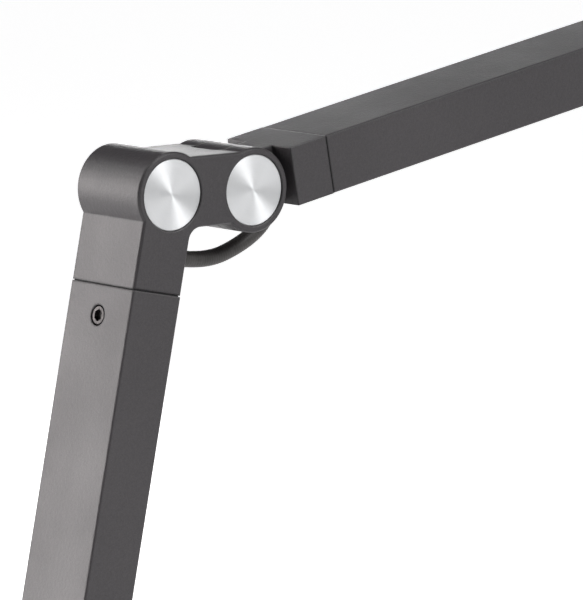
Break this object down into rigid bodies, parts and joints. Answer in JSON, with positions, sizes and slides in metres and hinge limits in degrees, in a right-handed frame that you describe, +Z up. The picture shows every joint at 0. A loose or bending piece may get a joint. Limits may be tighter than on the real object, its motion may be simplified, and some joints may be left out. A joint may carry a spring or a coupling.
{
  "type": "swing arm desk lamp",
  "caption": "desk lamp with an edge clamp, a swivel base, two jointed rectangular arms with silver pivot discs, and a flat bar-shaped light head",
  "frame": {"origin": "centre of the upper clamp pad's underside, on the desk's top face", "axes": "+Z up, +X toward the person at the desk, the arms swing in the XZ plane, -Y is the side of the bolt heads"},
  "size_m": [0.5225, 0.4, 0.6758],
  "materials": {
    "satin_graphite": "satin graphite powder coat, very fine grain",
    "spun_aluminium": "spun, fine concentric turning lines",
    "clear_zinc_steel": "zinc plated fasteners",
    "black_steel": "blackened socket screws",
    "spring_steel": "spring steel, dull",
    "bronze_bush": "sintered bronze",
    "brass_insert": "turned brass",
    "friction_plastic": "white low-friction plastic",
    "black_rubber": "matt rubber",
    "black_plastic": "moulded, fine texture",
    "cable_sleeve": "soft matt cable sleeve with fine ribs",
    "diffuser_acrylic": "opal acrylic, satin",
    "circuit_board": "white solder mask",
    "control_laminate": "green solder mask",
    "led_phosphor": "yellow phosphor",
    "touch_glass": "black gloss"
  },
  "bodies": {
    "clamp": {"clamp_frame": "satin_graphite", "upper_pad": "black_rubber", "swivel_bush": "bronze_bush", "thread_insert": "brass_insert", "thrust_washer": "friction_plastic"},
    "clamp_foot": {"pressure_foot": "satin_graphite", "foot_pad": "black_rubber"},
    "clamp_screw": {"clamp_screw": "black_steel", "clamp_knob": "black_plastic"},
    "base": {"swivel_spindle": "clear_zinc_steel", "retaining_ring": "spring_steel", "retaining_washer": "clear_zinc_steel", "base_bracket": "satin_graphite", "base_set_screws": "black_steel", "power_inlet": "black_plastic", "base_discs": "spun_aluminium", "base_lead": "cable_sleeve", "shoulder_loop": "cable_sleeve", "shoulder_bolt": "black_steel", "shoulder_nut": "clear_zinc_steel", "shoulder_disc_spring": "spring_steel", "shoulder_friction_washers": "friction_plastic"},
    "lower_arm": {"lower_arm_foot": "satin_graphite", "shoulder_bush": "bronze_bush", "lower_arm_tube": "satin_graphite", "lower_arm_set_screws": "black_steel", "lower_arm_cable": "cable_sleeve", "elbow_bracket": "satin_graphite", "elbow_discs": "spun_aluminium", "elbow_loop": "cable_sleeve", "elbow_bolt": "black_steel", "elbow_nut": "clear_zinc_steel", "elbow_disc_spring": "spring_steel", "elbow_friction_washers": "friction_plastic"},
    "upper_arm": {"upper_arm_root": "satin_graphite", "elbow_bush": "bronze_bush", "upper_arm_tube": "satin_graphite", "upper_arm_set_screws": "black_steel", "upper_arm_cable": "cable_sleeve", "head_bracket": "satin_graphite", "head_discs": "spun_aluminium", "head_loop": "cable_sleeve", "head_bolt": "black_steel", "head_nut": "clear_zinc_steel", "head_disc_spring": "spring_steel", "head_friction_washers": "friction_plastic"},
    "head_mount": {"head_knuckle": "satin_graphite", "head_bush": "bronze_bush", "head_lead": "cable_sleeve", "stem_ring": "spring_steel"},
    "head": {"head_housing": "satin_graphite", "stem_bush": "bronze_bush", "touch_panel": "touch_glass", "control_board": "control_laminate", "led_board": "circuit_board", "leds": "led_phosphor", "diffuser": "diffuser_acrylic", "end_cap_near": "black_plastic", "end_cap_far": "black_plastic"}
  },
  "joints": [
    {"name": "foot_slide", "type": "slide", "parent": "clamp", "child": "clamp_foot", "axis": [0, 0, 1], "range_m": [-0.0196, 0.0181]},
    {"name": "screw_turn", "type": "hinge", "parent": "clamp_foot", "child": "clamp_screw", "pos_m": [0, 0, -0.06], "axis": [0, 0, 1], "range_deg": [-4680, 4320]},
    {"name": "base_swivel", "type": "hinge", "parent": "clamp", "child": "base", "pos_m": [0, 0, 0.0208], "axis": [0, 0, 1], "range_deg": [-175, 175]},
    {"name": "shoulder_pivot", "type": "hinge", "parent": "base", "child": "lower_arm", "pos_m": [-0.03051, 0, 0.08245], "axis": [0, 1, 0], "range_deg": [-80, 15], "deforming": ["shoulder_loop"]},
    {"name": "elbow_pivot", "type": "hinge", "parent": "lower_arm", "child": "upper_arm", "pos_m": [0.07986, 0, 0.46325], "axis": [0, 1, 0], "range_deg": [-60, 100], "deforming": ["elbow_loop"]},
    {"name": "head_tilt", "type": "hinge", "parent": "upper_arm", "child": "head_mount", "pos_m": [0.44351, 0, 0.5315], "axis": [0, -1, 0], "range_deg": [-15, 60], "deforming": ["head_loop"]},
    {"name": "head_swivel", "type": "hinge", "parent": "head_mount", "child": "head", "pos_m": [0.44351, 0, 0.4935], "axis": [0, 0, 1], "range_deg": [-40, 40]}
  ],
  "couplings": [
    {"joint": "foot_slide", "follows": "screw_turn", "m_per_rad": 0.0002387}
  ]
}
